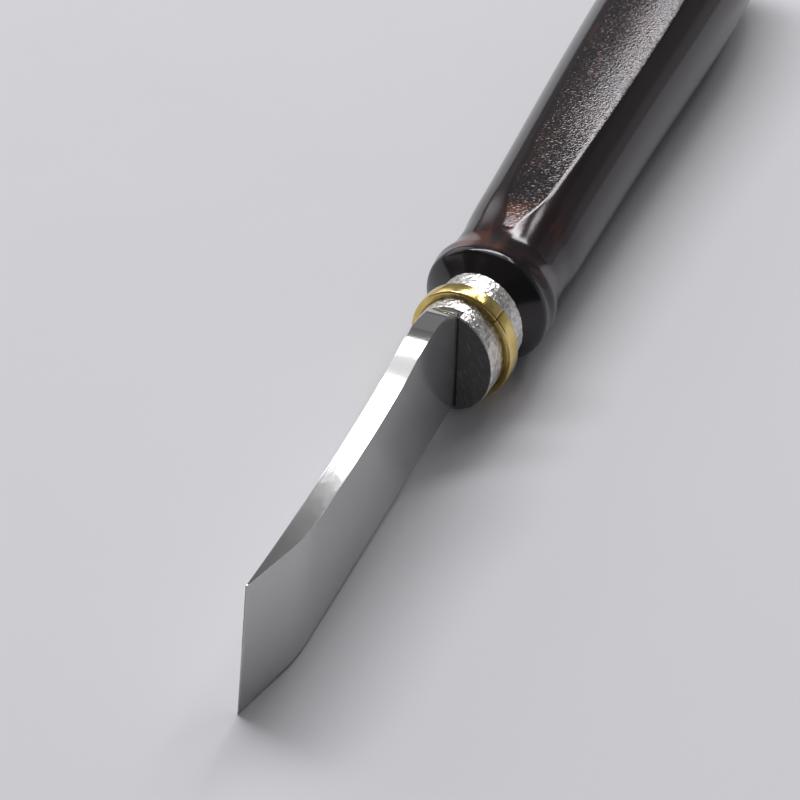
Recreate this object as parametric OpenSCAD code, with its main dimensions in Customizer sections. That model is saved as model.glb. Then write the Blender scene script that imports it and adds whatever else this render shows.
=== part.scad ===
// Leather knife: a skew-edged blade in a turned hardwood handle, with a hammered ferrule and a brass ring.
// Millimetres. The axis of the handle runs along X with the tip towards +X and the spine up.
// The bevelled face of the blade looks towards +Y. Distances along the axis are counted from the
// lowest point of the ferrule's front end, and the finished part is then centred over its footprint.

/* [Blade] */
// Reach of the lower tip in front of the ferrule
blade_reach = 54.5; // [40:0.5:80]
// Thickness of the steel
blade_t = 2.6; // [1.6:0.1:3.6]
// Depth of the straight lower edge below the axis
lower_z = 6.2; // [4.5:0.1:7.5]
// Height of the upper corner of the cutting edge above the axis
corner_z = 9.4; // [6:0.1:14]
// Distance of that corner behind the lower tip
edge_skew = 4.1; // [0:0.1:9]
// Width of the bevel along the blade
bevel_w = 9.6; // [5:0.1:15]
// Thickness left at the cutting edge
edge_t = 0.1; // [0.05:0.05:0.4]
// Height of the rounded heel above the axis
heel_z = 10.45; // [8:0.05:15]
// Distance of the top of the heel in front of the ferrule
heel_x = 7; // [4:0.1:9]
// Distance in front of the ferrule at which the spine falls most steeply
fall_x = 13.4; // [11:0.1:20]
// Height of the spine there
fall_z = 9.8; // [7:0.1:13]
// Fall of the spine there over each millimetre
fall_rate = 0.19; // [0.05:0.01:0.3]
// Rise of the spine at the upper corner over each millimetre
corner_rate = 0.08; // [0:0.01:0.2]

/* [Tang] */
// Depth of the tang's end behind the ferrule's front
tang_len = 46; // [25:0.5:80]
// Height of the tang
tang_h = 5.2; // [3:0.1:8]
// Depth of the heel in the slot of the ferrule
heel_depth = 1.6; // [1.2:0.1:5]
// Thickness of the bedding resin round the steel
bed = 0.25; // [0.15:0.05:0.8]

/* [Ferrule] */
// Outside width of the oval ferrule
ferrule_d = 12.3; // [11:0.1:16]
// Outside height of the ferrule beyond its width
ferrule_tall = 2.3; // [0.5:0.1:4]
// Wall of the ferrule
ferrule_wall = 0.5; // [0.3:0.1:1.5]
// Length of the ferrule in front of the bead
ferrule_len = 9.8; // [8:0.1:20]
// Distance of the top of the front end behind its bottom
end_lean = 0.7; // [0:0.1:1]

/* [Brass ring] */
// Height of the ring above the ferrule
ring_h = 0.85; // [0.6:0.05:2]
// Width of the ring along the axis
ring_w = 1.9; // [1:0.1:4]
// Distance of the middle of the ring behind the ferrule's front
ring_x = 5.0; // [3.5:0.1:7]
// Height of the ring's straight sides above the ferrule
ring_side = 0.3; // [0.1:0.05:0.5]

/* [Handle] */
// Step from the top of the ferrule out to the front of the bead
bead_step = 0.15; // [0.1:0.05:1]
// Height of the bead's edge above that step
bead_rise = 1.0; // [0.8:0.05:3]
// Length of the bead's sloping front
bead_front = 3.2; // [2:0.1:8]
// Rounding of the bead's edge
bead_edge = 0.5; // [0.2:0.1:1]
// Length from the bead's edge back to the neck
bead_back = 6.2; // [4:0.1:12]
// Diameter of the neck
neck_d = 15.6; // [13.5:0.1:16.5]
// Length from the neck to the thickest part of the grip
grip_len = 83; // [60:1:110]
// Diameter of the thickest part of the grip
belly_d = 21.8; // [20:0.1:28]
// Length from the thickest part to the butt
tail_len = 28; // [20:0.5:50]
// Diameter of the butt before its dome
butt_d = 17.6; // [14:0.1:19]
// Length of the domed end
butt_dome = 5; // [2:0.1:8]

/* [Flats] */
// Height of each flat above the axis where it is lowest
flat_low_z = 7.8; // [6.5:0.05:8.5]
// Distance of that lowest place behind the ferrule's front
flat_low_x = 31; // [28:0.5:45]
// Radius of the long shallow sweep of the flat
flat_sweep = 1035; // [600:5:1500]
// Height of the level rear part of the flat above the axis
flat_rear_z = 9.5; // [9:0.05:9.9]

/* [Fit] */
// Clearance of a sleeve on what it is pushed over
push_fit = 0.05; // [0.02:0.01:0.15]

/* [Hidden] */

$fn = 96;
steps = 12;
sweep_sides = 1440;
reach = 400;
heel_root_pull = 0.85;
shoulder_pull = 0.38;
hollow_pull = [0.18, 0.38];
bead_pull = 0.45;
swell_pull = [0.39, 0.35, 0.18];
tail_pull = [0.5, 0.2];

ferrule_r = ferrule_d / 2;
ferrule_top = ferrule_r + ferrule_tall / 2;
tenon_r = ferrule_r - ferrule_wall - push_fit;
lean_angle = atan(end_lean / (2 * ferrule_top));
ring_bore_r = ferrule_r + push_fit;
ring_crown = ring_h - push_fit - ring_side;
slot_w = blade_t + 2 * bed;
slot_end = -heel_depth - bed;

bead_root_r = ferrule_top + bead_step;
bead_r = bead_root_r + bead_rise;
neck_r = neck_d / 2;
belly_r = belly_d / 2;
butt_r = butt_d / 2;
bead_edge_x = -ferrule_len - bead_front;
neck_x = bead_edge_x - bead_back;
belly_x = neck_x - grip_len;
butt_x = belly_x - tail_len;
dome_x = butt_x + butt_dome;

middle_x = (blade_reach + butt_x) / 2;
rest_z = flat_rear_z;

corner_x = blade_reach - edge_skew;
edge_angle = atan(edge_skew / (corner_z + lower_z));
edge_len = norm([edge_skew, corner_z + lower_z]);
bevel_depth = bevel_w * cos(edge_angle);

// Point at t of the curve from a to d that is drawn towards b and c
function bend(a, b, c, d, t) =
    pow(1 - t, 3) * a + 3 * t * pow(1 - t, 2) * b + 3 * pow(t, 2) * (1 - t) * c + pow(t, 3) * d;

// That curve as a row of points, without its first one
function curve(a, b, c, d) = [for (i = [1 : steps]) bend(a, b, c, d, i / steps)];

// Outline of the blade seen from the side, as [along the axis, height]
heel_root = [-heel_depth, ferrule_top - bed];
heel_top = [heel_x, heel_z];
fall = [fall_x, fall_z];
corner = [corner_x, corner_z];
shoulder_run = shoulder_pull * (fall_x - heel_x);
hollow_run = hollow_pull * (corner_x - fall_x);
heel_rise = curve(heel_root, [0, heel_z * heel_root_pull], [heel_x / 2, heel_z], heel_top);
shoulder = curve(
    heel_top,
    heel_top + [shoulder_run, 0],
    fall - shoulder_run * [1, -fall_rate],
    fall);
hollow = curve(
    fall,
    fall + hollow_run[0] * [1, -fall_rate],
    corner - hollow_run[1] * [1, corner_rate],
    corner);
side_outline = concat(
    [[-tang_len, -tang_h / 2], [-tang_len, tang_h / 2], [-heel_depth, tang_h / 2], heel_root],
    heel_rise,
    shoulder,
    hollow,
    [[blade_reach, -lower_z], [-heel_depth, -lower_z], [-heel_depth, -tang_h / 2]]);

// Outline that the handle is turned to, as [radius, along the axis]
bead_front_line = [[bead_root_r, -ferrule_len], [bead_r - bead_edge, bead_edge_x + bead_edge]];
bead_round = [for (i = [1 : steps / 2])
    let (a = 90 * i / (steps / 2))
    [bead_r - bead_edge * (1 - sin(a)), bead_edge_x + bead_edge * cos(a)]];
bead_slope = curve(
    [bead_r, bead_edge_x],
    [bead_r, bead_edge_x - bead_back * bead_pull],
    [neck_r, neck_x + bead_back * bead_pull],
    [neck_r, neck_x]);
swell = curve(
    [neck_r, neck_x],
    [neck_r + (belly_r - neck_r) * swell_pull[0], neck_x - grip_len * swell_pull[1]],
    [belly_r, belly_x + grip_len * swell_pull[2]],
    [belly_r, belly_x]);
tail = curve(
    [belly_r, belly_x],
    [belly_r, belly_x - (tail_len - butt_dome) * tail_pull[0]],
    [butt_r + butt_dome * tail_pull[1], dome_x + butt_dome],
    [butt_r, dome_x]);
dome = [for (i = [1 : steps])
    let (a = 90 * i / steps)
    [butt_r * cos(a), dome_x - butt_dome * sin(a)]];
turned_outline = concat(
    [[0, -ferrule_len]],
    bead_front_line,
    bead_round,
    bead_slope,
    swell,
    tail,
    dome);

// Half of the tenon's section and the section of the ferrule's wall, as [half width, along the axis]
tenon_outline = [[0, 0], [tenon_r, 0], [tenon_r, bead_edge_x], [0, bead_edge_x]];
wall_outline = [
    [ferrule_r - ferrule_wall, 0],
    [ferrule_r, 0],
    [ferrule_r, -ferrule_len],
    [ferrule_r - ferrule_wall, -ferrule_len]];

// Cross-section of the ring, as [half width, along the axis]
ring_outline = concat(
    [[ring_bore_r, -ring_w / 2]],
    [for (i = [0 : steps])
        let (a = 180 * i / steps)
        [ring_bore_r + ring_side + ring_crown * sin(a), -ring_w / 2 * cos(a)]],
    [[ring_bore_r, ring_w / 2]]);

// Moves a piece from the ferrule's front to the finished part's own origin
module place() {
    translate([-middle_x, 0, rest_z]) children();
}

// Solid of revolution round the X axis
module turned(outline) {
    rotate([0, 90, 0]) rotate_extrude() polygon(outline);
}

// Oval sweep round the X axis: a half turn above and below, and straight sides between them
module oval_turned(outline) {
    for (below = [0, 1])
        mirror([0, 0, below])
            translate([0, 0, ferrule_tall / 2])
                rotate([90, 0, 90]) rotate_extrude(angle = 180) polygon(outline);
    linear_extrude(height = ferrule_tall, center = true)
        for (left = [0, 1])
            mirror([0, left]) polygon([for (p = outline) [p[1], p[0]]]);
}

// Everything in front of the leaning front end of the ferrule
module front_waste() {
    translate([0, 0, -ferrule_top])
        rotate([0, -lean_angle, 0])
            translate([0, -reach / 2, -reach / 2])
                cube([reach, reach, reach]);
}

// Room for the heel, through the top of the ferrule
module heel_slot() {
    translate([slot_end, -slot_w / 2, -lower_z - bed])
        cube([reach, slot_w, reach]);
}

// Room for the tang and its bedding
module mortise() {
    translate([-tang_len - bed, -slot_w / 2, -tang_h / 2 - bed])
        cube([reach, slot_w, tang_h + 2 * bed]);
}

module steel() {
    difference() {
        rotate([90, 0, 0])
            linear_extrude(height = blade_t, center = true)
                polygon(side_outline);
        translate([blade_reach, 0, -lower_z])
            rotate([0, -edge_angle, 0])
                bevel_waste();
    }
}

// Wedge that leaves the bevel, with the cutting edge along its own Z axis
module bevel_waste() {
    translate([0, 0, -edge_len])
        linear_extrude(height = 3 * edge_len)
            polygon([
                [-bevel_depth, blade_t / 2],
                [0, edge_t - blade_t / 2],
                [bevel_depth, edge_t - blade_t / 2],
                [bevel_depth, blade_t],
                [-bevel_depth, blade_t]]);
}

// What is planed off above the upper flat
module flat_waste() {
    intersection() {
        translate([butt_x - reach, -reach / 2, 0])
            cube([neck_x - butt_x + reach, reach, reach]);
        union() {
            translate([-flat_low_x, 0, flat_low_z + flat_sweep])
                rotate([90, 0, 0])
                    cylinder(r = flat_sweep, h = reach, center = true, $fn = sweep_sides);
            translate([butt_x - reach, -reach / 2, flat_rear_z])
                cube([reach + tail_len + grip_len / 2, reach, reach]);
        }
    }
}

module blade() {
    color("#b9bcc0") place() steel();
}

module handle() {
    color("#33211d") place()
        difference() {
            union() {
                turned(turned_outline);
                oval_turned(tenon_outline);
            }
            flat_waste();
            mirror([0, 0, 1]) flat_waste();
            mortise();
            heel_slot();
            front_waste();
        }
}

module ferrule() {
    color("#d4d4d2") place()
        difference() {
            oval_turned(wall_outline);
            heel_slot();
            front_waste();
        }
}

module brass_ring() {
    color("#c9a544") place()
        translate([-ring_x, 0, 0])
            oval_turned(ring_outline);
}

module tang_bedding() {
    color("#141211") place()
        difference() {
            intersection() {
                union() {
                    mortise();
                    heel_slot();
                }
                oval_turned([[0, 0], [ferrule_r, 0], [ferrule_r, -reach], [0, -reach]]);
            }
            steel();
            front_waste();
        }
}

blade();
handle();
ferrule();
brass_ring();
tang_bedding();
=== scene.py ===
# %% [markdown]
# # A leather knife, dressed for the camera
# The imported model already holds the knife's pieces at their real size. This lesson gives each piece the
# skin that a maker would see on the bench: ground steel, lacquered wood, beaten silver, brass and resin.
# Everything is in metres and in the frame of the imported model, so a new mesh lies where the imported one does.

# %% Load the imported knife
import math

import bpy
import numpy as np
from mathutils import Matrix, Vector


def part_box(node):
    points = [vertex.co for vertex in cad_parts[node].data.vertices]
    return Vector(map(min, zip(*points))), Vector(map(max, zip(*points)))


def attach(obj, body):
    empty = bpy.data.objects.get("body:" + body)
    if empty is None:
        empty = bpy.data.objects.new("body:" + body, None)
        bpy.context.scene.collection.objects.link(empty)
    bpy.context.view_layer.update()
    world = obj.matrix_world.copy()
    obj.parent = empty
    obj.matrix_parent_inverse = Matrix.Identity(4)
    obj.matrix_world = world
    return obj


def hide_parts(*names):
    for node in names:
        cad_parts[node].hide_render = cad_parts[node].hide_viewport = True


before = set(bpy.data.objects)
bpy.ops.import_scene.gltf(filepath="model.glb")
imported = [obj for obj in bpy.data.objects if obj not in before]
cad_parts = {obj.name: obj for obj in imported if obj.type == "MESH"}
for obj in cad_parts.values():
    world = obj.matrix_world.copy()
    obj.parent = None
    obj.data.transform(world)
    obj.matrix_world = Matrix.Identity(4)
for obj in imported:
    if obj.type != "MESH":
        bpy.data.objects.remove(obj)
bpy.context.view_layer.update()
print("nodes:", sorted(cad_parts))

# %% [markdown]
# ## Sizes that everything hangs on
# The ferrule tells where the handle's axis runs and where the blade leaves the handle, so distances along
# the knife are counted from the ferrule's front end, forwards positive. The main sizes could be typed in,
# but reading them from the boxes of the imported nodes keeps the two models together. What a box can't tell,
# such as the shape of a curve, is written in millimetres where it is first needed.

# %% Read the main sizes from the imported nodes
MM = 0.001
blade_low, blade_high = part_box("blade")
handle_low, handle_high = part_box("handle")
ferrule_low, ferrule_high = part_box("ferrule")
ring_low, ring_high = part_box("brass_ring")

front_x = ferrule_high.x
axis_z = (ferrule_low.z + ferrule_high.z) / 2
ferrule_slimmer = 0.2 * MM
ferrule_half = (ferrule_high.y - ferrule_low.y) / 2 - ferrule_slimmer
ferrule_top = (ferrule_high.z - ferrule_low.z) / 2
ferrule_len = ferrule_high.x - ferrule_low.x
oval = ferrule_top / ferrule_half
front_side = 0.25 * MM
ferrule_turn = math.radians(4.4)


def along(distance):
    """X of a place that lies this far in front of the ferrule's front end."""
    return front_x + distance


def ferrule_side(distance):
    """How far to one side the ferrule's own axis runs there, because it isn't quite in line."""
    return front_side - math.tan(ferrule_turn) * distance


print("axis at", round(axis_z / MM, 2), "mm, ferrule", round(2 * ferrule_half / MM, 2), "mm wide")

# %% [markdown]
# ## Writing shader maths as plain sums
# A node tree is a sum drawn with wires, and making it node by node hides the sum. Wrapping a socket in a
# small class lets the sums be written as sums: `1 - mask * 0.5` adds the Math nodes by itself, and one
# method makes every other node. The shader trees and the geometry trees below both use it.


# %% A socket that can be reckoned with
class Wire:
    """An output socket of a node tree, or the bare tree. Arithmetic on it adds Math nodes."""

    def __init__(self, tree, socket=None):
        self.tree = tree
        self.socket = socket

    def node(self, kind, settings=None, inputs=None, output=0):
        """A new node with these settings and socket values, as the wire of one of its outputs."""
        made = self.tree.nodes.new(kind)
        for name, value in (settings or {}).items():
            if name == "stops":
                self.set_stops(made.color_ramp, value)
            else:
                setattr(made, name, value)
        for name, value in (inputs or {}).items():
            if isinstance(value, Wire):
                self.tree.links.new(value.socket, made.inputs[name])
            else:
                made.inputs[name].default_value = value
        return Wire(self.tree, made.outputs[output] if made.outputs else None)

    @staticmethod
    def set_stops(ramp, stops):
        """Gives a colour ramp these (place, colour) stops."""
        while len(ramp.elements) < len(stops):
            ramp.elements.new(1)
        for element, (place, colour) in zip(ramp.elements, stops):
            element.position = place
            element.color = (*colour, 1)

    def other(self, output):
        """Another output of the node that this wire comes from."""
        return Wire(self.tree, self.socket.node.outputs[output])

    def math(self, operation, *values):
        return self.node("ShaderNodeMath", {"operation": operation}, dict(enumerate(values)))

    def __add__(self, other):
        return self.math("ADD", self, other)

    def __radd__(self, other):
        return self.math("ADD", other, self)

    def __sub__(self, other):
        return self.math("SUBTRACT", self, other)

    def __rsub__(self, other):
        return self.math("SUBTRACT", other, self)

    def __mul__(self, other):
        return self.math("MULTIPLY", self, other)

    def __rmul__(self, other):
        return self.math("MULTIPLY", other, self)

    def __truediv__(self, other):
        return self.math("DIVIDE", self, other)

    def __rtruediv__(self, other):
        return self.math("DIVIDE", other, self)

    def __pow__(self, other):
        return self.math("POWER", self, other)

    def ramp(self, low, high):
        """0 below low, 1 above high, and an even slope with soft ends between."""
        return self.node(
            "ShaderNodeMapRange",
            {"interpolation_type": "SMOOTHSTEP"},
            {"Value": self, "From Min": low, "From Max": high},
        )


# %% Helpers that every finish uses
def new_material(name):
    """An empty material, its shader and the wire of its object coordinates."""
    material = bpy.data.materials.new(name)
    material.use_nodes = True
    place = Wire(material.node_tree).node("ShaderNodeTexCoord", output="Object")
    return material, material.node_tree.nodes["Principled BSDF"], place


def feed(shader, **wires):
    """Links wires to the shader's sockets. Underscores stand for the spaces in their names."""
    for name, wire in wires.items():
        wire.tree.links.new(wire.socket, shader.inputs[name.replace("_", " ")])


def mark_on_mesh(place, name):
    """Wire of a number that the mesh carries on its points."""
    return place.node("ShaderNodeAttribute", {"attribute_name": name}, output="Fac")


def noise(place, scale, detail=2.0, roughness=0.5):
    """Cloudy noise from 0 to 1. Of three scales, one for each axis, a small one draws it out that way."""
    if isinstance(scale, tuple):
        place, scale = place.node("ShaderNodeMapping", {}, {"Vector": place, "Scale": scale}), 1.0
    sizes = {"Vector": place, "Scale": scale, "Detail": detail, "Roughness": roughness}
    return place.node("ShaderNodeTexNoise", {}, sizes)


def coloured(mask, *stops):
    """Colour that a ramp of (place, colour) stops gives for the mask."""
    return mask.node("ShaderNodeValToRGB", {"stops": stops}, {"Fac": mask}, output="Color")


def bumped(height, distance):
    """Normal that is tilted by a height of this distance."""
    return height.node("ShaderNodeBump", {}, {"Height": height, "Distance": distance})


def tell(material):
    """Prints what a finish is made of."""
    print("finish:", material.name, "of", len(material.node_tree.nodes), "nodes")


# %% [markdown]
# ## Ground steel
# The blade's faces were ground lengthwise on stones, which leaves a mirror with a fine haze, and its spine
# was polished. Anisotropic sockets could draw such a grain, but the export can't bake them. A noise that is
# stretched along the blade moves the roughness instead and tilts the normal a little. The haze makes the
# faces a little less than fully metallic, and a mark on the mesh tells the spine from them.


# %% Make the steel
def make_blade_steel():
    material, shader, place = new_material("blade_steel")
    spine = mark_on_mesh(place, "spine")
    grain = noise(place, (300, 9000, 9000), 3.0)
    cloud = noise(place, 90.0)
    dull, bright = (0.51, 0.505, 0.507), (0.62, 0.614, 0.616)
    face_metal, spine_metal = 0.72, 0.93
    satin = 0.12 + grain * 0.06 + cloud * 0.04
    polish = 0.07 + grain * 0.025
    feed(
        shader,
        Base_Color=coloured(cloud * 0.6 + grain * 0.4, (0, dull), (1, bright)),
        Metallic=face_metal + spine * (spine_metal - face_metal),
        Roughness=satin + spine * (polish - satin),
        Normal=bumped(grain, 0.003 * MM),
    )
    return material


blade_steel = make_blade_steel()
tell(blade_steel)

# %% [markdown]
# ## Lacquered dark wood
# The handle is nearly black, with a red-brown glow painted into its colour where light gets into the wood,
# at the top of the neck and on the planed flats. The grain runs along the handle, so its noise is stretched
# that way. The lacquer on the flats has the fine skin of a sprayed coat, which painters call orange peel.
# Folding a cloudy noise at its middle gives the worm-like ridges of that skin, which fade towards the neck,
# and the bead is smooth.

# %% Make the lacquered wood
gloss_x = along(-13.0 * MM)
neck_glow_x = along(-19.0 * MM)


def make_lacquered_wood():
    material, shader, place = new_material("lacquered_wood")
    planed = mark_on_mesh(place, "planed")
    x = place.node("ShaderNodeSeparateXYZ", {}, {"Vector": place})
    bead = x.ramp(gloss_x - 1.6 * MM, gloss_x - 0.3 * MM)
    neck = x.ramp(neck_glow_x - 14 * MM, neck_glow_x) * (1 - bead)
    above = x.other("Z").ramp(axis_z + 2.5 * MM, axis_z + 6.5 * MM)
    rear = 1 - x.ramp(neck_glow_x - 41 * MM, neck_glow_x - 9 * MM)

    fibre = noise(place, (60, 1400, 1400), 5.0, 0.6)
    figure = noise(place, (90, 260, 260), 3.0)
    # Painted light: a red-brown glow put into the colour on top of the neck and on the flats, where light gets
    # in.
    painted_glow = (neck * 0.45 * above + planed * 0.3) * figure.ramp(0.25, 0.6) + neck * 0.15 * above
    tone = fibre.ramp(0.3, 0.75) * 0.22 + figure.ramp(0.35, 0.7) * 0.12 + painted_glow
    # The red stop is reached only through the painted glow.
    black, brown, glow_red = (0.006, 0.005, 0.005), (0.018, 0.009, 0.009), (0.14, 0.031, 0.010)

    worm = place.math("ABSOLUTE", noise(place, 1950.0, 1.5) - 0.5) * 4
    depth = (planed * (0.56 + rear * 0.38) + 0.06) * (1 - bead * 0.9)
    feed(
        shader,
        Base_Color=coloured(tone * (1 - bead * 0.97), (0, black), (0.45, brown), (1, glow_red)),
        Roughness=0.12 + bead * 0.02 + fibre * 0.04 + planed * rear * 0.04,
        Normal=bumped(worm * depth, 0.027 * MM),
    )
    shader.inputs["Specular Tint"].default_value = (1.0, 0.94, 1.0, 1.0)
    shader.inputs["IOR"].default_value = 1.5
    return material


lacquered_wood = make_lacquered_wood()
tell(lacquered_wood)

# %% [markdown]
# ## Bare end grain
# The end of the handle shows inside the ferrule, cut across and left without lacquer. It is dull and dark,
# with fine pores and with slanting scratches. A picture of an end could be laid on it, but noise has no seam
# and no fixed size. For the scratches the coordinates are turned before they are stretched, so that the
# strokes run across the end at an angle.


# %% Make the end grain
def make_end_grain():
    material, shader, place = new_material("end_grain")
    stroke = (math.radians(-35), 0, 0)
    aslant = place.node("ShaderNodeMapping", {}, {"Vector": place, "Rotation": stroke})
    pore = noise(place, (1500, 1500, 5200), 4.0, 0.65)
    scratch = noise(aslant, (400, 2700, 650), 3.0).ramp(0.5, 0.75)
    dark, pale = (0.068, 0.066, 0.067), (0.26, 0.255, 0.255)
    feed(
        shader,
        Base_Color=coloured(pore * 0.5 + scratch * 0.55, (0, dark), (1, pale)),
        Roughness=0.45 + pore * 0.25,
        Normal=bumped(pore - scratch * 0.6, 0.06 * MM),
    )
    return material


end_grain = make_end_grain()
tell(end_grain)

# %% [markdown]
# ## Hammered silver
# The ferrule's skin is beaten like bark and looks satin between the dents. The dents themselves are real
# geometry, because they break the outline. Only the finest crumple is left to a bump, and the same noise
# darkens its hollows.


# %% Make the silver
def make_hammered_silver():
    material, shader, place = new_material("hammered_silver")
    crumple = noise(place, 1300.0, 3.0, 0.6)
    blotch = noise(place, 700.0)
    hollow, ridge = (0.45, 0.44, 0.427), (0.79, 0.775, 0.75)
    shader.inputs["Metallic"].default_value = 1.0
    feed(
        shader,
        Base_Color=coloured(crumple.ramp(0.3, 0.6), (0, hollow), (1, ridge)),
        Roughness=0.25 + blotch * 0.18,
        Normal=bumped(crumple, 0.12 * MM),
    )
    return material


hammered_silver = make_hammered_silver()
tell(hammered_silver)

# %% [markdown]
# ## Polished brass
# The ring was bent from a strip, soldered and polished by hand, so its face is slightly faceted and the seam
# shows as a dark line. Where its sides meet the ferrule the brass is darkened: painted shade, standing in for
# the shadow in that crevice. Shade and seam could be drawn on a picture, but both follow from the ring's
# own form: from the distance to its axis, and from the angle round it.

# %% Make the brass
ring_half = (ring_high.y - ring_low.y) / 2
ring_oval = (ring_high.z - ring_low.z) / 2 / ring_half
ring_wider = 0.3 * MM
ring_mid = (ring_low.x + ring_high.x - ring_wider) / 2 - front_x
ring_middle = (along(ring_mid), ferrule_side(ring_mid), axis_z)
seam_angle = math.radians(47)


def make_polished_brass():
    material, shader, place = new_material("polished_brass")
    apart = place.node("ShaderNodeVectorMath", {"operation": "SUBTRACT"}, {0: place, 1: ring_middle})
    apart = place.node("ShaderNodeSeparateXYZ", {}, {"Vector": apart})
    y, z = apart.other("Y"), apart.other("Z") / ring_oval
    away = (y * y + z * z) ** 0.5
    # Painted shade: the brass close to the ferrule is darkened to stand in for the shadow in the crevice there.
    crevice_shade = 1 - away.ramp(ring_half - 0.85 * MM, ring_half - 0.6 * MM)
    from_seam = place.math("ABSOLUTE", place.math("ARCTAN2", z, y) - seam_angle) * ring_half
    seam = 1 - from_seam.ramp(0.03 * MM, 0.14 * MM)
    clear_of_shade_and_seam = (1 - crevice_shade * 0.7) * (1 - seam * 0.8)

    cloud = noise(place, 420.0, 3.0)
    scuff = noise(place, (4200, 900, 900), 3.0)
    facet = noise(place, (250, 420, 420), 1.0)
    # The darkest stop is both the seam's own colour and the painted shade by the ferrule.
    seam_and_shade_brown, olive, gold = (0.05, 0.028, 0.008), (0.60, 0.43, 0.12), (0.84, 0.66, 0.27)
    shine = (0.4 + cloud.ramp(0.3, 0.7) * 0.6) * clear_of_shade_and_seam
    shader.inputs["Metallic"].default_value = 1.0
    feed(
        shader,
        Base_Color=coloured(shine, (0, seam_and_shade_brown), (0.4, olive), (1, gold)),
        Roughness=0.12 + scuff * 0.10 + crevice_shade * 0.3,
        Normal=bumped(scuff * 0.06 + facet, 0.1 * MM),
    )
    return material


polished_brass = make_polished_brass()
tell(polished_brass)

# %% [markdown]
# ## Black resin
# The resin that beds the tang shows only as a thin black line round the blade. A plain dark colour would
# nearly do. A little grit in its colour, roughness and normal keeps it from looking like a hole.


# %% Make the resin
def make_black_resin():
    material, shader, place = new_material("black_resin")
    grit = noise(place, 3000.0, 3.0)
    black, charcoal = (0.004, 0.004, 0.004), (0.012, 0.011, 0.011)
    feed(
        shader,
        Base_Color=coloured(grit, (0, black), (1, charcoal)),
        Roughness=0.35 + grit * 0.3,
        Normal=bumped(grit, 0.03 * MM),
    )
    return material


black_resin = make_black_resin()
tell(black_resin)

# %% [markdown]
# ## Turning a row of loops into a piece
# The blade and the handle change their cross-section all along, so no spin or extrusion makes them. Both
# are skins over a row of closed loops with the same number of points. Joining each loop to the next and
# closing the two ends makes a sealed mesh. Each point carries one more number, which a finish can read.


# %% A mesh from a row of loops
def skin(name, loops, mark, *materials):
    """A closed mesh over loops of equal length, each counter-clockwise as seen from the last loop's side.

    The fourth number of each point is kept on the mesh under the name of the mark, for the finish to use.
    """
    rows, columns = len(loops), len(loops[0])
    points = np.concatenate(loops)
    faces = []
    for i in range(rows - 1):
        for j in range(columns):
            k = (j + 1) % columns
            faces.append((i * columns + j, i * columns + k, (i + 1) * columns + k, (i + 1) * columns + j))
    faces.append(tuple(reversed(range(columns))))
    faces.append(tuple(range((rows - 1) * columns, rows * columns)))
    mesh = bpy.data.meshes.new(name)
    mesh.from_pydata(points[:, :3].tolist(), [], faces)
    marked = mesh.attributes.new(mark, "FLOAT", "POINT")
    marked.data.foreach_set("value", points[:, 3])
    mesh.shade_smooth()
    for material in materials:
        mesh.materials.append(material)
    piece = bpy.data.objects.new(name, mesh)
    bpy.context.scene.collection.objects.link(piece)
    print(name, "has", rows, "loops of", columns, "points")
    return piece


# %% [markdown]
# ## The blade's outline and faces
# The steel is a flat bar with a rounded heel, a hollow spine and a straight lower edge, and it ends in a
# skewed cutting edge with a bevel on one face only. The top line is drawn with three curves, as a draughtsman
# would with a bent strip. Polishing has rounded the change into the bevel, and a soft minimum of the two
# planes gives that.


# %% Draw the top line of the blade
def bend(a, b, c, d, count):
    """Points of the curve from a to d that is drawn towards b and c."""
    t = np.linspace(0, 1, count)[:, None]
    a, b, c, d = (np.array(p, float) for p in (a, b, c, d))
    return (1 - t) ** 3 * a + 3 * t * (1 - t) ** 2 * b + 3 * t**2 * (1 - t) * c + t**3 * d


bed = 0.25 * MM
blade_reach = blade_high.x - front_x
lower_z, corner_z = -6.2 * MM, 9.4 * MM
edge_skew = 4.1 * MM
heel_depth = 1.6 * MM
heel_root = np.array([-heel_depth, ferrule_top - bed])
heel_top = np.array([7.0 * MM, blade_high.z - axis_z])
heel_lift = 0.85
steepest = np.array([13.4, 9.8]) * MM
steepest_way = np.array([1, -0.19])
corner = np.array([blade_reach - edge_skew, corner_z])
corner_way = np.array([1, 0.08])
shoulder_run = 0.38 * (steepest - heel_top)[0]
hollow_run_in, hollow_run_out = np.array([0.18, 0.38]) * (corner - steepest)[0]
LINE_STEPS = 40

heel_rise = bend(
    heel_root, (0, heel_top[1] * heel_lift), (heel_top[0] / 2, heel_top[1]), heel_top, LINE_STEPS
)
shoulder = bend(
    heel_top, heel_top + [shoulder_run, 0], steepest - shoulder_run * steepest_way, steepest, LINE_STEPS
)
hollow = bend(
    steepest, steepest + hollow_run_in * steepest_way, corner - hollow_run_out * corner_way, corner,
    2 * LINE_STEPS,
)
top_line = np.concatenate([heel_rise, shoulder[1:], hollow[1:]])
print("blade reaches", round(blade_reach / MM, 1), "mm out of the ferrule")

# %% Lay the two faces
back_y, face_y = -1.42 * MM, 1.34 * MM
taper = 0.003
edge_t = 0.06 * MM
bevel_rate = 0.26
bevel_soft = 0.6 * MM
edge_way = np.array([edge_skew, lower_z - corner_z])
edge_way /= np.linalg.norm(edge_way)


def soft_min(a, b, width):
    """The smaller of a and b, rounded over where they are closer than width."""
    gap = np.clip(1 - np.abs(a - b) / width, 0, 1)
    return np.minimum(a, b) - gap**2 * width / 4


def back_face(x):
    """Y of the plain face, which comes in a little towards the tip."""
    return back_y + taper * np.maximum(x, 0)


def front_face(x, z):
    """Y of the bevelled face at a place of the blade."""
    behind = (blade_reach - x) * -edge_way[1] - (z - lower_z) * edge_way[0]
    bevel = back_face(blade_reach) + edge_t + bevel_rate * behind
    return soft_min(bevel, face_y - taper * np.maximum(x, 0), bevel_soft)


print("blade is", round((face_y - back_y) / MM, 2), "mm thick at the heel")

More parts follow.
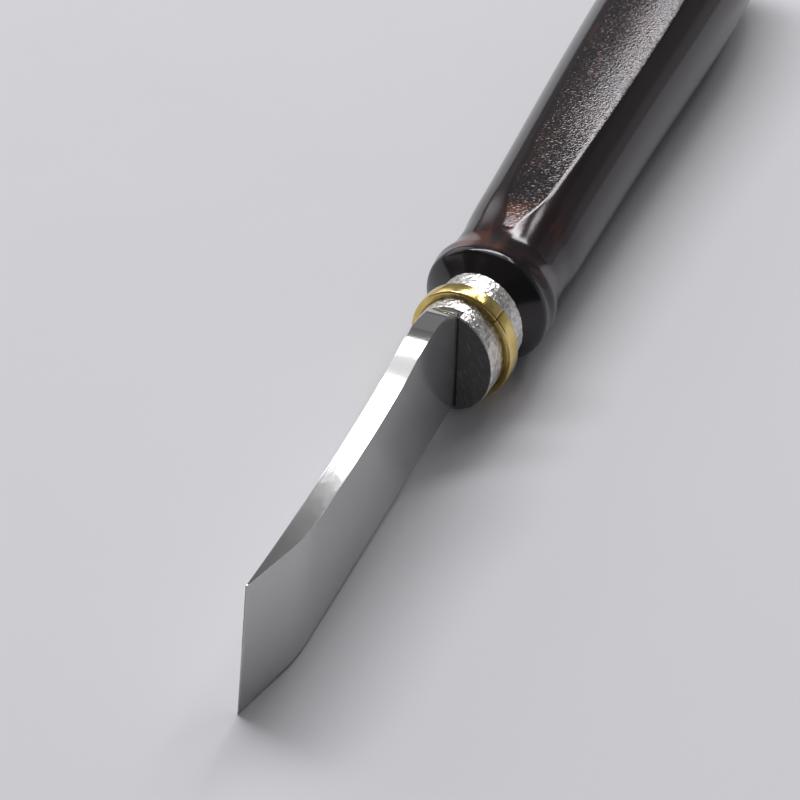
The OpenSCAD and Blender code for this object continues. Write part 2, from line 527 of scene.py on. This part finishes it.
# %% [markdown]
# ## The blade's loops
# Each loop goes round the blade between a place on its lower edge and one on its spine. A row of upright
# loops would cut the skewed edge and its bevel into steps. Here the loops lean over gradually until the last
# one is the cutting edge itself, so the bevel's start runs through the mesh cleanly.

# %% Go once round the blade
lower_round, spine_round = 0.18 * MM, 0.003 * MM
widest_round = 0.3
edge_room, face_room = 1.4, 1.6
FACE_STEPS, BACK_STEPS, ROUND_STEPS, EDGE_STEPS = 36, 10, 4, 4


def blade_section(x_low, z_low, x_high, z_high):
    """Loop round the blade. The fourth number of a point is 1 on the spine and 0 elsewhere."""
    low, high = np.array([x_low, z_low]), np.array([x_high, z_high])
    height = np.linalg.norm(high - low)
    up = (high - low) / height
    back_low, back_high = back_face(x_low), back_face(x_high)
    front_low, front_high = front_face(*low), front_face(*high)
    r_low = min(lower_round, widest_round * (front_low - back_low))
    r_high = min(spine_round, widest_round * (front_high - back_high))
    turn = np.linspace(0, math.pi / 2, ROUND_STEPS)
    loop = []

    def add(w, y, spine=0):
        spot = low + up * w
        loop.append((along(spot[0]), y, axis_z + spot[1], spine))

    for a in turn:
        add(r_low * (1 - math.sin(a)), back_low + r_low * (1 - math.cos(a)))
    for y in np.linspace(back_low + edge_room * r_low, front_low - edge_room * r_low, EDGE_STEPS):
        add(0, y)
    for a in turn:
        add(r_low * (1 - math.cos(a)), front_low - r_low * (1 - math.sin(a)))
    for w in np.linspace(face_room * r_low, height - face_room * r_high, FACE_STEPS):
        add(w, front_face(*(low + up * w)))
    for a in turn:
        add(height - r_high * (1 - math.sin(a)), front_high - r_high * (1 - math.cos(a)), 1)
    for y in np.linspace(front_high - edge_room * r_high, back_high + edge_room * r_high, EDGE_STEPS):
        add(height, y, 1)
    for a in turn:
        add(height - r_high * (1 - math.cos(a)), back_high + r_high * (1 - math.sin(a)), 1)
    for w in np.linspace(height - face_room * r_high, face_room * r_low, BACK_STEPS):
        add(w, back_face((low + up * w)[0]))
    return np.array(loop)


# %% Make the blade
tang_h = 5.2 * MM
tang_end = blade_low.x - front_x
BLADE_LOOPS = 170


def make_blade():
    loops = [blade_section(x, -tang_h / 2, x, tang_h / 2) for x in (tang_end, -heel_depth)]
    for u in np.linspace(0, 1, BLADE_LOOPS):
        x_low = -heel_depth + (blade_reach + heel_depth) * u
        x_high = -heel_depth + (corner[0] + heel_depth) * u
        z_high = np.interp(x_high, top_line[:, 0], top_line[:, 1])
        loops.append(blade_section(x_low, lower_z, x_high, z_high))
    return skin("blade_polished", loops, "spine", blade_steel)


blade = make_blade()

# %% [markdown]
# ## The handle's turned outline
# The handle was turned on a lathe: a tenon under the ferrule, a bead that rises from it as a cone and ends in
# a thin land at the rim, a neck, and a grip that swells to the belly and closes in a domed butt. The outline
# is a chain of curves, each given by its two ends and by how far it is pulled at them.

# %% Sizes of the turned outline
ferrule_wall = 0.5 * MM
tenon_r = ferrule_half - ferrule_wall - 0.02 * MM
end_r = ferrule_half - 0.14 * MM
end_land, end_taper = 0.04 * MM, 0.3 * MM

bead_r = 8.5 * MM
bead_x = -ferrule_len - 3.75 * MM
bead_root_r = tenon_r + 0.05 * MM
root_pull_x, root_pull_r = 1.0 * MM, 0.95 * MM
bead_edge = 1.2 * MM
bead_edge_from, bead_edge_to = math.radians(38), math.radians(7)
bead_land = 0.42 * MM
land_pull = 0.4 * bead_land
land_x = bead_x + bead_land
land_r = bead_r - bead_land * math.tan(bead_edge_to) / 2
slope_x = land_x + bead_edge * (math.sin(bead_edge_from) - math.sin(bead_edge_to))
slope_r = land_r + bead_edge * (math.cos(bead_edge_from) - math.cos(bead_edge_to))
slope_pull = 0.7 * MM

neck_r = 7.3 * MM
neck_x = bead_x - 5.45 * MM
back_pull_x, back_pull_r = 1.3 * MM, 0.26 * MM
neck_pull_front, neck_pull_rear = 1.8 * MM, 1.6 * MM

grip_x, grip_r = -29.5 * MM, 8.1 * MM
grip_pull_x, grip_pull_r = 4.3 * MM, 0.12 * MM
swell_towards = (-54.0 * MM, 8.75 * MM)
belly_x, belly_pull = -102.2 * MM, 15.2 * MM
belly_r = (handle_high.y - handle_low.y) / 2 - 0.15 * MM

butt_x = handle_low.x - front_x
butt_r, butt_dome = 8.8 * MM, 5.0 * MM
butt_point = 0.02 * MM
dome_x = butt_x + butt_dome
dome_flare = 0.2
tail_pull = (belly_x - butt_x - butt_dome) * 0.5
STEPS = {"slope": 16, "edge": 12, "land": 8, "back": 36, "neck": 36, "swell": 110, "tail": 24, "dome": 16}
print("bead", round(2 * bead_r / MM, 1), "mm wide, belly", round(2 * belly_r / MM, 1), "mm wide")


# %% Draw the turned outline
def tenon_outline():
    """(distance along the knife, radius) of the tenon, from its end to the bead."""
    return [(0, end_r), (-end_land, end_r), (-end_taper, tenon_r), (-ferrule_len, tenon_r)]


def turned_outline():
    """(distance along the knife, radius) of the handle behind the tenon, from the bead to the butt."""
    root, slope_end = (-ferrule_len, bead_root_r), (slope_x, slope_r)
    land_front, rim = (land_x, land_r), (bead_x, bead_r)
    neck_low, grip, belly, dome_rim = (neck_x, neck_r), (grip_x, grip_r), (belly_x, belly_r), (dome_x, butt_r)
    slope = bend(
        root, (root[0] - root_pull_x, bead_root_r + root_pull_r),
        (slope_x + slope_pull, slope_r - slope_pull * math.tan(bead_edge_from)), slope_end, STEPS["slope"],
    )
    turn = np.linspace(bead_edge_from, bead_edge_to, STEPS["edge"])[1:]
    edge = np.stack([
        land_x + bead_edge * (np.sin(turn) - math.sin(bead_edge_to)),
        land_r + bead_edge * (np.cos(turn) - math.cos(bead_edge_to)),
    ], 1)
    land = bend(
        land_front, (land_x - land_pull, land_r + land_pull * math.tan(bead_edge_to)),
        (bead_x + land_pull, bead_r), rim, STEPS["land"],
    )
    back = bend(
        rim, (bead_x - back_pull_x, bead_r - back_pull_r), (neck_x + neck_pull_front, neck_r), neck_low,
        STEPS["back"],
    )
    neck = bend(
        neck_low, (neck_x - neck_pull_rear, neck_r), (grip_x + grip_pull_x, grip_r - grip_pull_r), grip,
        STEPS["neck"],
    )
    swell = bend(grip, swell_towards, (belly_x + belly_pull, belly_r), belly, STEPS["swell"])
    tail = bend(
        belly, (belly_x - tail_pull, belly_r),
        (dome_x + butt_dome, butt_r + butt_dome * dome_flare), dome_rim, STEPS["tail"],
    )
    turn = np.linspace(0, 1, STEPS["dome"])[1:] * math.pi / 2
    dome = np.stack([dome_x - butt_dome * np.sin(turn), np.maximum(butt_r * np.cos(turn), butt_point)], 1)
    curves = [land, back, neck, swell, tail]
    return np.concatenate([slope, edge, *(curve[1:] for curve in curves), dome])


print("outline of", len(turned_outline()), "points behind the tenon")

# %% [markdown]
# ## The handle's flats and its faults
# After turning, the maker planed the handle flat above and below. The upper flat is crowned, less so near the
# neck than behind, and its front end is rolled off. The handle isn't quite true either: its front stands to
# one side, the bead sits askew like the ferrule, and the neck is fuller at the sides. All this could be
# sculpted. Small functions of the distance along the knife let each be measured and changed by itself.

# %% Shape the flats and the faults
flat_low_x, flat_low_z = -27.0 * MM, 7.59 * MM
flat_sweep = 1200.0 * MM
flat_level_soft = 0.5 * MM
flat_nose = 0.27 * MM
flat_nose_from, flat_nose_to = -26.0 * MM, -20.5 * MM
flat_end_run, flat_end_late, flat_end_rise = 2.0 * MM, 0.1, 3.0 * MM
flat_crown = 17.5
crown_share = 0.35
crown_from, crown_to = -28.0 * MM, -56.0 * MM
bead_side = 0.88 * MM
bead_side_at, bead_side_to = -16.1 * MM, -24.0 * MM
rounding_rate = 1.4
bend_side = 0.5 * MM
bend_from, bend_to = -70.0 * MM, -20.0 * MM
askew_from, askew_to = -25.0 * MM, -13.4 * MM


def eased(t):
    """0 to 1 with a soft start and end."""
    t = np.clip(t, 0, 1)
    return t * t * (3 - 2 * t)


def flat_height(x):
    """Height of the flat above the axis. It leaves the wood in front, at the neck."""
    swept = flat_low_z + (x - flat_low_x) ** 2 / (2 * flat_sweep)
    level = soft_min(swept, axis_z, flat_level_soft)
    nose = np.clip((x - flat_nose_from) / (flat_nose_to - flat_nose_from), 0, 1)
    leaving = np.clip((x - neck_x) / flat_end_run - flat_end_late, 0, 1)
    return level - flat_nose * nose**2 + leaving**2 * flat_end_rise


def crowning(x):
    """How strongly the upper flat is crowned."""
    return flat_crown * (crown_share + (1 - crown_share) * eased((x - crown_from) / (crown_to - crown_from)))


def tallness(x):
    """Height of a section over its width: an oval at the ferrule, which the bead's slope turns round."""
    return 1 + (oval - 1) * np.clip((x - slope_x) / (-ferrule_len - slope_x), 0, 1) ** rounding_rate


def side_swelling(x):
    """How much fuller the back of the bead and the neck are at the sides than above and below."""
    out = eased((bead_x - x) / (bead_x - bead_side_at))
    return bead_side * out * (1 - eased((bead_side_at - x) / (bead_side_at - bead_side_to)))


def sideways(x):
    """How far the front of the handle has come to one side."""
    return bend_side * eased((x - bend_from) / (bend_to - bend_from))


def askew(x):
    """How far a section is pushed along the knife for each metre to the side."""
    return math.tan(ferrule_turn) * eased((x - askew_from) / (askew_to - askew_from))


print("flat lies", round(flat_height(flat_low_x) / MM, 2), "mm above the axis at its lowest")

# %% [markdown]
# ## The handle's loops
# Behind the tenon every loop is a circle whose top and bottom are cut off at the height of the flat, with the
# ridge softened as lacquer softens it. A boolean cut would leave ragged faces there. Here the points of a
# loop are shared out so that one of them always lies on the ridge, which keeps it a clean line.

# %% Go once round the tenon
ROUND_SIDE, FLAT_SIDE = 40, 22
end_lean, end_sunk = 0.7 * MM, 0.17 * MM
lean_back_to = -0.5 * MM


def tenon_section(x, r):
    """Oval loop round the tenon, whose end leans back and is cut askew like the ferrule's."""
    angles = np.linspace(0, 2 * math.pi, 4 * (ROUND_SIDE + FLAT_SIDE), endpoint=False)
    y, z = r * np.cos(angles), r * oval * np.sin(angles)
    pushed_on = math.tan(ferrule_turn) * y
    lean = end_lean * (z + ferrule_top) / (2 * ferrule_top) if x > lean_back_to else 0
    return np.stack([along(x - end_sunk - lean + pushed_on), y + ferrule_side(x), axis_z + z, 0 * y], 1)


print("tenon", round(2 * tenon_r / MM, 2), "mm wide and", round(2 * tenon_r * oval / MM, 2), "mm tall")

# %% Go once round the handle
TINY = 1e-9
ridge_soft, ridge_full = 0.3 * MM, 1.3 * MM
ridge_least, ridge_fade = 0.15, 1.6
highest_ridge = 0.985
planed_depth, planed_late = 0.04 * MM, 0.2


def loop_angles(ridge):
    """Angles of a loop's points, with one on each ridge."""
    quarter = np.concatenate([
        np.linspace(0, ridge, ROUND_SIDE, endpoint=False),
        np.linspace(ridge, math.pi / 2, FLAT_SIDE, endpoint=False),
    ])
    mirrored = np.concatenate([[math.pi / 2], quarter[:0:-1]])
    return np.concatenate([quarter, math.pi - mirrored, math.pi + quarter, 2 * math.pi - mirrored])


def handle_section(x, r):
    """Loop round the handle. The fourth number of a point is 1 on a flat and 0 on the round sides."""
    tall = tallness(x)
    height = flat_height(x) / tall
    angles = loop_angles(math.asin(min(height / r, highest_ridge)))
    half = math.sqrt(max(r * r - height * height, 0))
    across = np.clip(np.abs(r * np.cos(angles)) / max(half, TINY), 0, 1)
    crown = crowning(x) * half**2 * (1 - across**2)
    crowned = height + np.where(np.sin(angles) > 0, crown, 0)
    radius = np.full_like(angles, r)
    soft = ridge_soft * min(max((r - height) / ridge_full, ridge_least), 1) ** ridge_fade
    if height < r + soft:
        radius = soft_min(crowned / np.maximum(np.abs(np.sin(angles)), TINY), radius, soft)
    planed = np.clip((r - radius) / planed_depth - planed_late, 0, 1)
    radius = radius + side_swelling(x) * np.cos(angles) ** 2
    y, z = radius * np.cos(angles), radius * np.sin(angles) * tall
    return np.stack([along(x) + askew(x) * y, sideways(x) + y, axis_z + z, planed], 1)


# %% Make the handle
end_grain_to = along(-ferrule_len + 0.1 * MM)
sharp_angle = math.radians(50)


def make_handle():
    loops = [tenon_section(x, r) for x, r in tenon_outline()]
    loops += [handle_section(x, r) for x, r in turned_outline()]
    loops = [loop[::-1] for loop in loops]
    piece = skin("handle_lacquered", loops, "planed", lacquered_wood, end_grain)
    for face in piece.data.polygons:
        if face.center.x > end_grain_to:
            face.material_index = 1
    piece.data.set_sharp_from_angle(angle=sharp_angle)
    return piece


handle = make_handle()

# %% [markdown]
# ## Trees that sweep a section round the axis
# The ferrule and the ring are both a section that goes once round the axis, so their shape follows a rule. A
# Geometry Nodes tree makes each from a circle and a rounded rectangle, with its sizes as named inputs. The
# helpers here start and end such a tree, and turn its result into a plain mesh.

# %% Start a tree and sweep its section
FILLET_STEPS = 6


def new_tree(name, sizes):
    """A bare geometry tree and the wires of its named inputs. Only a seed is a whole number."""
    tree = bpy.data.node_groups.new(name, "GeometryNodeTree")
    for label in sizes:
        kind = "NodeSocketInt" if label == "Seed" else "NodeSocketFloat"
        tree.interface.new_socket(label, in_out="INPUT", socket_type=kind)
    tree.interface.new_socket("Finish", in_out="INPUT", socket_type="NodeSocketMaterial")
    tree.interface.new_socket("Geometry", in_out="OUTPUT", socket_type="NodeSocketGeometry")
    bare = Wire(tree)
    start = bare.node("NodeGroupInput")
    return bare, {label: start.other(label) for label in (*sizes, "Finish")}


def swept_section(tree, radius, wall, length, rounding, around, count):
    """A rounded rectangle swept round the X axis, its middle at the origin."""
    path = tree.node("GeometryNodeCurvePrimitiveCircle", {}, {"Resolution": around, "Radius": radius})
    section = tree.node("GeometryNodeCurvePrimitiveQuadrilateral", {}, {"Width": wall, "Height": length})
    corners = {"Curve": section, "Count": FILLET_STEPS, "Radius": rounding}
    section = tree.node("GeometryNodeFilletCurve", {"mode": "POLY"}, corners)
    section = tree.node("GeometryNodeResampleCurve", {}, {"Curve": section, "Count": count})
    swept = tree.node("GeometryNodeCurveToMesh", {}, {"Curve": path, "Profile Curve": section})
    return tree.node("GeometryNodeTransform", {}, {"Geometry": swept, "Rotation": (0, math.pi / 2, 0)})


def polar(tree):
    """Wires of the position, its x, y and z, its distance from the X axis and the way out from there."""
    place = tree.node("GeometryNodeInputPosition")
    x = tree.node("ShaderNodeSeparateXYZ", {}, {"Vector": place})
    y, z = x.other("Y"), x.other("Z")
    flat = tree.node("ShaderNodeCombineXYZ", {}, {"Y": y, "Z": z})
    out = tree.node("ShaderNodeVectorMath", {"operation": "NORMALIZE"}, {0: flat})
    return place, x, y, z, (y * y + z * z) ** 0.5, out


def pushed(tree, shape, way, amount):
    """The shape with its points moved along a way by an amount."""
    offset = tree.node("ShaderNodeVectorMath", {"operation": "SCALE"}, {0: way, "Scale": amount})
    return tree.node("GeometryNodeSetPosition", {}, {"Geometry": shape, "Offset": offset})


# %% End a tree and take its mesh
def finished(tree, shape, wires, middle):
    """Ends a tree: the shape is drawn out to an oval and goes to its place, smooth and with its finish."""
    stretch = tree.node("ShaderNodeCombineXYZ", {}, {"X": 1.0, "Y": 1.0, "Z": wires["Oval"]})
    shape = tree.node("GeometryNodeTransform", {}, {"Geometry": shape, "Scale": stretch})
    turn = tree.node("ShaderNodeCombineXYZ", {}, {"Z": wires["Turn"]})
    laid = {"Geometry": shape, "Translation": middle, "Rotation": turn}
    shape = tree.node("GeometryNodeTransform", {}, laid)
    shape = tree.node("GeometryNodeSetShadeSmooth", {}, {"Geometry": shape})
    shape = tree.node("GeometryNodeRealizeInstances", {}, {"Geometry": shape})
    shape = tree.node("GeometryNodeSetMaterial", {}, {"Geometry": shape, "Material": wires["Finish"]})
    tree.node("NodeGroupOutput", {}, {"Geometry": shape})


def grown(name, tree, values):
    """A plain mesh piece from a tree and the values of its inputs."""
    holder = bpy.data.objects.new(name + "_holder", bpy.data.meshes.new(name + "_holder"))
    bpy.context.scene.collection.objects.link(holder)
    modifier = holder.modifiers.new("grow", "NODES")
    modifier.node_group = tree.tree
    for item in tree.tree.interface.items_tree:
        if item.in_out == "INPUT":
            modifier[item.identifier] = values[item.name]
    ready = holder.evaluated_get(bpy.context.evaluated_depsgraph_get())
    mesh = bpy.data.meshes.new_from_object(ready)
    mesh.name = name
    bpy.data.objects.remove(holder)
    piece = bpy.data.objects.new(name, mesh)
    bpy.context.scene.collection.objects.link(piece)
    print(name, "has", len(mesh.polygons), "faces")
    return piece


# %% [markdown]
# ## The ferrule
# The ferrule is a short sleeve whose outside was beaten until it looked like bark. Each blow could be set by
# hand, but cells of Voronoi noise with a finer noise on top push the outside in and out by themselves, and
# the seed keeps them where they are. The front end leans back, and a block cuts the slot for the heel.


# %% Dents, and a block for the slot
def dents(tree, place, wires):
    """How far the skin goes out at a place, in parts of the dents' depth."""
    cell_weight, bark_weight, sunk = 1.6, 1.5, 1.9
    cells = tree.node(
        "ShaderNodeTexVoronoi",
        {"voronoi_dimensions": "4D", "feature": "SMOOTH_F1"},
        {"Vector": place, "W": wires["Seed"], "Scale": 1 / wires["Dent size"], "Smoothness": 0.25},
    )
    bark = tree.node(
        "ShaderNodeTexNoise",
        {"noise_dimensions": "4D"},
        {"Vector": place, "W": wires["Seed"], "Scale": 2.4 / wires["Dent size"], "Detail": 3.0},
    )
    return cells * cell_weight + bark * bark_weight - sunk


def slot_block(tree, wires):
    """The block that cuts the slot for the heel out of the ferrule's front."""
    length = wires["Length"]
    reach = length * 2
    size = tree.node("ShaderNodeCombineXYZ", {}, {"X": reach, "Y": wires["Slot width"], "Z": reach})
    block = tree.node("GeometryNodeMeshCube", {}, {"Size": size})
    spot = {
        "X": length * 1.5 - wires["Slot depth"],
        "Y": wires["Slot side"],
        "Z": length + wires["Slot floor"],
    }
    spot = tree.node("ShaderNodeCombineXYZ", {}, spot)
    return tree.node("GeometryNodeTransform", {}, {"Geometry": block, "Translation": spot})


# %% Put the ferrule's tree together
FERRULE_AROUND, FERRULE_COUNT = 420, 200
ferrule_rounding = 0.12 * MM


def ferrule_tree(middle):
    sizes = (
        "Radius", "Wall", "Length", "Oval", "Turn", "Lean", "Slot width", "Slot depth", "Slot side",
        "Slot floor", "Dent size", "Dent depth", "Seed",
    )
    tree, wires = new_tree("beaten_ferrule", sizes)
    radius, wall, length = wires["Radius"], wires["Wall"], wires["Length"]
    shape = swept_section(
        tree, radius - wall * 0.5, wall, length, ferrule_rounding, FERRULE_AROUND, FERRULE_COUNT
    )
    place, x, _, z, away, out = polar(tree)
    outside = ((away - radius + wall * 0.5) / wall).ramp(0.1, 0.5)
    shape = pushed(tree, shape, out, outside * wires["Dent depth"] * dents(tree, place, wires))
    frontness = (x / length + 0.5).ramp(0.45, 1.0)
    shape = pushed(tree, shape, (-1, 0, 0), frontness * wires["Lean"] * ((z / radius) * 0.5 + 0.5))
    meshes = {"Mesh 1": shape, "Mesh 2": slot_block(tree, wires)}
    cut = tree.node("GeometryNodeMeshBoolean", {"operation": "DIFFERENCE", "solver": "MANIFOLD"}, meshes)
    finished(tree, cut, wires, middle)
    return tree


# %% Beat the ferrule
rim_back = 0.25 * MM
slot_w = blade_high.y - blade_low.y + 2 * bed
ferrule_mid = -(ferrule_len + rim_back) / 2
ferrule_middle = (along(ferrule_mid), ferrule_side(ferrule_mid), axis_z)
ferrule = grown("ferrule_beaten", ferrule_tree(ferrule_middle), {
    "Radius": ferrule_half,
    "Wall": ferrule_wall,
    "Length": ferrule_len - rim_back,
    "Oval": oval,
    "Turn": -ferrule_turn,
    "Lean": end_lean,
    "Slot width": slot_w,
    "Slot depth": heel_depth + bed,
    "Slot side": -front_side,
    "Slot floor": (lower_z - bed) / oval,
    "Dent size": 0.5 * MM,
    "Dent depth": 0.07 * MM,
    "Seed": 7,
    "Finish": hammered_silver,
})

# %% [markdown]
# ## The ring
# The brass ring is a flat band with rounded edges and a soldered joint. A torus would look too round. The
# swept rectangle gets a slight crown on its outside instead, and a nick where the joint was filed.

# %% Put the ring's tree together
RING_AROUND, RING_COUNT = 300, 72


def ring_tree(middle):
    sizes = (
        "Radius", "Height", "Width", "Oval", "Turn", "Crown", "Rounding", "Seam angle", "Seam width",
        "Seam depth",
    )
    tree, wires = new_tree("bent_ring", sizes)
    radius, height, width = wires["Radius"], wires["Height"], wires["Width"]
    shape = swept_section(
        tree, radius - height * 0.5, height, width, wires["Rounding"], RING_AROUND, RING_COUNT
    )
    _, x, y, z, away, out = polar(tree)
    outside = ((away - radius + height) / height).ramp(0.2, 0.9)
    swell = 1 - (x / width * 2) ** 2
    angle = tree.math("ARCTAN2", z, y)
    from_seam = tree.math("ABSOLUTE", angle - wires["Seam angle"]) * radius / wires["Seam width"]
    seam = 1 - from_seam.ramp(0.2, 1.0)
    shape = pushed(tree, shape, out, outside * (swell * wires["Crown"] - seam * wires["Seam depth"]))
    finished(tree, shape, wires, middle)
    return tree


# %% Bend the ring
ring_crown = 0.06 * MM
ring_sunk = 0.1 * MM
ring = grown("brass_ring_bent", ring_tree(ring_middle), {
    "Radius": ring_half - ring_crown,
    "Height": ring_half - ring_crown - ferrule_half + ring_sunk,
    "Width": ring_high.x - ring_low.x + ring_wider,
    "Oval": ring_oval,
    "Turn": -ferrule_turn,
    "Crown": ring_crown,
    "Rounding": 0.26 * MM,
    "Seam angle": seam_angle,
    "Seam width": 0.14 * MM,
    "Seam depth": 0.09 * MM,
    "Finish": polished_brass,
})

# %% [markdown]
# ## Tying the pieces to the imported model
# Nothing on this knife moves, so every piece rides on the one body. Each new mesh stands for its packed
# node. The resin is hidden but for a thin line, so it keeps its imported shape and only gets a finish.

# %% Ride and replace the pieces
DRESSED = [
    (blade, "blade", "blade_steel"),
    (handle, "handle", "lacquered_wood"),
    (ferrule, "ferrule", "hammered_silver"),
    (ring, "brass_ring", "polished_brass"),
]
for piece, node, slot in DRESSED:
    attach(piece, "root")
    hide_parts(node)
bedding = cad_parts["tang_bedding"]
bedding.data.materials.clear()
bedding.data.materials.append(black_resin)
print("dressed:", [node for _, node, _ in DRESSED])

# %% [markdown]
# ## The table
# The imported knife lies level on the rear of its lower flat, but on the bench the tip of its blade touches
# down too. The knife has to stay in its frame, so it is the table that is tilted a little: one large, pale
# sheet through the tip. A faint mottle keeps it from looking like paint.

# %% Lay the table
TABLE_HALF = 3.0
table_rise = 0.029


def make_table():
    material, shader, place = new_material("pale_table")
    mottle = noise(place, 30.0, 4.0)
    grey, pale = (0.69, 0.685, 0.715), (0.73, 0.725, 0.755)
    feed(shader, Base_Color=coloured(mottle, (0, grey), (1, pale)), Roughness=0.5 + mottle * 0.2)
    shader.inputs["Specular IOR Level"].default_value = 0.2
    corners = [(-1, -1), (1, -1), (1, 1), (-1, 1)]
    corners = [(x * TABLE_HALF, y * TABLE_HALF) for x, y in corners]
    corners = [(x, y, blade_low.z + table_rise * (x - blade_high.x)) for x, y in corners]
    mesh = bpy.data.meshes.new("table")
    mesh.from_pydata(corners, [], [(0, 1, 2, 3)])
    mesh.materials.append(material)
    table = bpy.data.objects.new("table", mesh)
    bpy.context.scene.collection.objects.link(table)


make_table()
print("table tilted by", round(math.degrees(math.atan(table_rise)), 2), "degrees")

# %% [markdown]
# ## The lights
# Polished things show their lights as much as their form, so the lights are soft panels that stand where the
# bright streaks ask for them. One long panel, up and to the left behind the knife, lights the hollow spine
# and throws the shadow to the right, and its glow above softens that shadow. A panel straight behind draws
# the light line along the ridge, and a small strip beside it puts a second spark on the neck. Dim walls
# and a wide panel overhead give the dark lacquer something to mirror.

# %% A panel that faces the knife
LIGHT_DISTANCE = 2.6
aim = Vector((front_x, 0, axis_z))


def direction(azimuth, elevation):
    """Unit vector that points this way from the knife. Both angles are in radians."""
    level = math.cos(elevation)
    return Vector((level * math.cos(azimuth), level * math.sin(azimuth), math.sin(elevation)))


def hang_light(name, azimuth, elevation, wide, tall, radiance):
    """A soft panel in the given direction from the ferrule, facing it."""
    data = bpy.data.lights.new(name, "AREA")
    data.shape = "RECTANGLE"
    data.size, data.size_y = wide, tall
    data.energy = radiance * math.pi * wide * tall
    light = bpy.data.objects.new(name, data)
    way = direction(math.radians(azimuth), math.radians(elevation))
    light.location = aim + way * LIGHT_DISTANCE
    light.rotation_euler = way.to_track_quat("Z", "Y").to_euler()
    bpy.context.scene.collection.objects.link(light)


# %% Hang the lights
LIGHTS = {  # azimuth and elevation in degrees, width and height in metres, and how bright the panel looks
    "long_panel": (213, 49.85, 2.43, 0.368, 15.2),
    "panel_glow": (210, 66.5, 2.0, 1.1, 1.1),
    "back_panel": (176, 37, 0.82, 0.5, 8.5),
    "side_strip": (158, 47.5, 0.36, 0.3, 8.0),
    "back_wall": (208, 20, 1.7, 1.59, 0.12),
    "right_wall": (128, 5, 2.4, 0.5, 0.15),
    "right_wall_top": (128, 14, 2.4, 1.4, 0.08),
    "right_wall_haze": (128, 21, 2.6, 2.2, 0.05),
    "overhead": (21, 82, 3.6, 3.2, 0.045),
    "left_wall": (245, 20, 2.0, 1.4, 1.2),
}
for name, light in LIGHTS.items():
    hang_light(name, *light)
print("lights:", list(LIGHTS))

# %% Grey the room
ROOM_GREY = (0.10, 0.098, 0.104, 1)
world = bpy.data.worlds.new("grey_room")
world.use_nodes = True
world.node_tree.nodes["Background"].inputs["Color"].default_value = ROOM_GREY
bpy.context.scene.world = world
bpy.context.scene.view_settings.view_transform = "Standard"
print("room:", world.name, ROOM_GREY[:3])

# %% [markdown]
# ## The camera
# The camera looks down on the knife at 40 degrees, from in front and a little to one side. It could be placed
# by hand, but a direction from the ferrule, a distance, a slight roll and the pixel on which the ferrule's
# front end falls can each be measured. The camera is first aimed straight at that end, and then swung until
# the end falls on its pixel.

# %% Set up the camera
PICTURE_SIZE = 800
FOCAL_PIXELS = 1800
TARGET_PIXEL = (444.1, 364.0)
CAMERA_AZIMUTH = math.radians(21.57)
CAMERA_ELEVATION = math.radians(40.0)
CAMERA_ROLL = math.radians(0.71)
CAMERA_DISTANCE = 0.222
SENSOR_WIDTH = 36
NEAREST = 0.005


def make_camera():
    data = bpy.data.cameras.new("camera")
    data.sensor_width = SENSOR_WIDTH
    data.lens = FOCAL_PIXELS / PICTURE_SIZE * SENSOR_WIDTH
    data.clip_start = NEAREST
    camera = bpy.data.objects.new("camera", data)
    back = direction(CAMERA_AZIMUTH, CAMERA_ELEVATION)
    level_right = Vector((0, 0, 1)).cross(back).normalized()
    level_up = back.cross(level_right)
    right = level_right * math.cos(CAMERA_ROLL) + level_up * math.sin(CAMERA_ROLL)
    facing = Matrix((right, back.cross(right), back)).transposed()
    seen = Vector((
        (TARGET_PIXEL[0] - PICTURE_SIZE / 2) / FOCAL_PIXELS,
        (PICTURE_SIZE / 2 - TARGET_PIXEL[1]) / FOCAL_PIXELS,
        -1,
    ))
    swing = Vector((0, 0, -1)).rotation_difference(seen).to_matrix()
    place = Matrix.Translation(aim + back * CAMERA_DISTANCE)
    camera.matrix_world = place @ (facing @ swing.transposed()).to_4x4()
    bpy.context.scene.collection.objects.link(camera)
    bpy.context.scene.camera = camera
    return camera


camera = make_camera()
print("camera", round(camera.data.lens, 1), "mm, at", [round(c, 3) for c in camera.matrix_world.translation])
